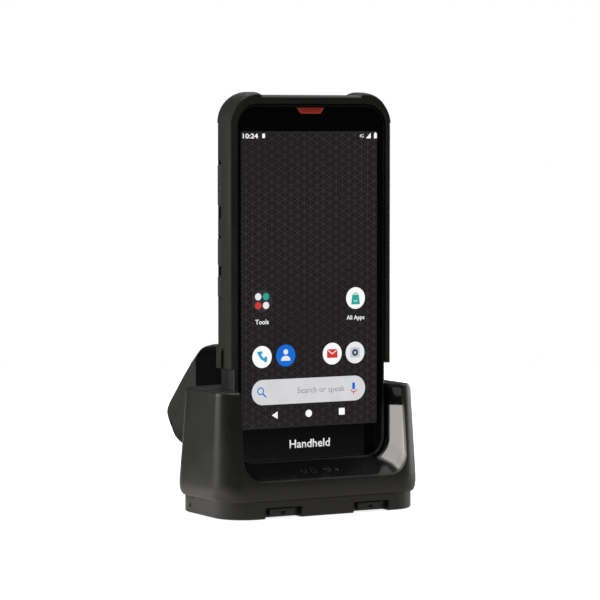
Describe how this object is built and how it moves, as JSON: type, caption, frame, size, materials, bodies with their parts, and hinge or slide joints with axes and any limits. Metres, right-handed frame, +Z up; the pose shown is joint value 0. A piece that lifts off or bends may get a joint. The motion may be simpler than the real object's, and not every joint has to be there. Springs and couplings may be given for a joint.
{
  "type": "handheld computer in charging cradle",
  "caption": "Rugged touch-screen handheld computer with a wrap-round handle frame and pistol-style scan handle, standing upright in a single-bay charging cradle it lifts out of.",
  "frame": {"origin": "centre of the underside of the cradle's anti-slip mat, on the table", "axes": "+Z up along the standing handheld, -Y out of the screen, +X to the right as seen from the front"},
  "size_m": [0.0972, 0.1228, 0.1772],
  "materials": {
    "housing_black": "fine moulded texture",
    "frame_black": "satin moulded",
    "bumper_black": "soft-touch overmould",
    "cradle_black": "satin moulded",
    "cup_gloss": "polished",
    "plinth_black": "fine moulded texture",
    "screen_glass": "polished black glass",
    "grille_red": "moulded",
    "key_black": "matte",
    "grip_grey": "satin moulded",
    "cap_grey": "satin moulded",
    "neck_black": "satin moulded",
    "trigger_black": "satin moulded",
    "clear_window": "dark red window",
    "lens_glass": "coated",
    "flash_amber": "diffuser",
    "steel": "plated",
    "zinc": "nickel plated",
    "board_green": "solder mask",
    "magnesium": "cast",
    "panel_grey": "laminate",
    "part_black": "moulded",
    "contact_black": "moulded",
    "battery_dark": "moulded",
    "mat_rubber": "matte",
    "seal_rubber": "matte"
  },
  "bodies": {
    "cradle": {"cradle_shell": "cradle_black", "cradle_cup": "cup_gloss", "cradle_base": "plinth_black", "link_sockets": "plinth_black", "side_covers": "plinth_black", "anti_slip_mat": "mat_rubber", "ballast_plate": "steel", "cradle_board": "board_green", "connector_springs": "steel", "power_jack": "part_black", "service_port": "zinc", "base_screws": "steel"},
    "handheld": {"front_frame": "frame_black", "rear_housing": "housing_black", "housing_seal": "seal_rubber", "housing_screws": "steel", "cover_glass": "screen_glass", "display_panel": "panel_grey", "earpiece_grille": "grille_red", "earpiece_speaker": "part_black", "mid_chassis": "magnesium", "main_board": "board_green", "shield_cans": "steel", "scan_engine": "part_black", "scan_window": "clear_window", "camera_module": "part_black", "camera_bezel": "zinc", "camera_lens": "lens_glass", "flash_lens": "flash_amber", "usb_port": "zinc", "loudspeaker": "part_black", "vibration_motor": "steel", "side_key_switches": "part_black", "battery_contacts": "contact_black", "handle_frame": "bumper_black", "handle_mount_screws": "steel", "neck_left_shell": "neck_black", "neck_right_shell": "neck_black", "grip_left_shell": "grip_grey", "grip_right_shell": "grip_grey", "grip_screws": "steel", "butt_cap": "cap_grey", "trigger_switch": "part_black", "trigger_pin": "steel", "trigger_spring": "steel"},
    "left_scan_key": {"left_scan_key": "key_black"},
    "volume_up_key": {"volume_up_key": "key_black"},
    "volume_down_key": {"volume_down_key": "key_black"},
    "power_key": {"power_key": "key_black"},
    "right_scan_key": {"right_scan_key": "key_black"},
    "battery": {"battery_pack": "battery_dark"},
    "battery_latch": {"battery_latch": "key_black"},
    "trigger": {"trigger": "trigger_black"},
    "dock_connector": {"dock_connector": "contact_black"}
  },
  "joints": [
    {"name": "handheld_lift", "type": "slide", "parent": "cradle", "child": "handheld", "axis": [0, 0, 1], "range_m": [0, 0.048]},
    {"name": "dock_connector_press", "type": "slide", "parent": "cradle", "child": "dock_connector", "axis": [0, 0, -1], "range_m": [0, 0.0008], "stiffness_N_per_m": 1200, "deforming": ["connector_springs"]},
    {"name": "left_scan_key_press", "type": "slide", "parent": "handheld", "child": "left_scan_key", "axis": [1, 0, 0], "range_m": [0, 0.0005], "stiffness_N_per_m": 2400},
    {"name": "volume_up_key_press", "type": "slide", "parent": "handheld", "child": "volume_up_key", "axis": [1, 0, 0], "range_m": [0, 0.0005], "stiffness_N_per_m": 2400},
    {"name": "volume_down_key_press", "type": "slide", "parent": "handheld", "child": "volume_down_key", "axis": [1, 0, 0], "range_m": [0, 0.0005], "stiffness_N_per_m": 2400},
    {"name": "power_key_press", "type": "slide", "parent": "handheld", "child": "power_key", "axis": [-1, 0, 0], "range_m": [0, 0.0005], "stiffness_N_per_m": 2400},
    {"name": "right_scan_key_press", "type": "slide", "parent": "handheld", "child": "right_scan_key", "axis": [-1, 0, 0], "range_m": [0, 0.0005], "stiffness_N_per_m": 2400},
    {"name": "battery_slide", "type": "slide", "parent": "handheld", "child": "battery", "axis": [0, 1, 0], "range_m": [0, 0.02]},
    {"name": "battery_latch_slide", "type": "slide", "parent": "handheld", "child": "battery_latch", "axis": [1, 0, 0], "range_m": [0, 0.003], "stiffness_N_per_m": 400},
    {"name": "trigger_pull", "type": "hinge", "parent": "handheld", "child": "trigger", "pos_m": [0, 0.014, 0.058], "axis": [-1, 0, 0], "range_deg": [0, 8], "stiffness_Nm_per_rad": 0.6}
  ]
}
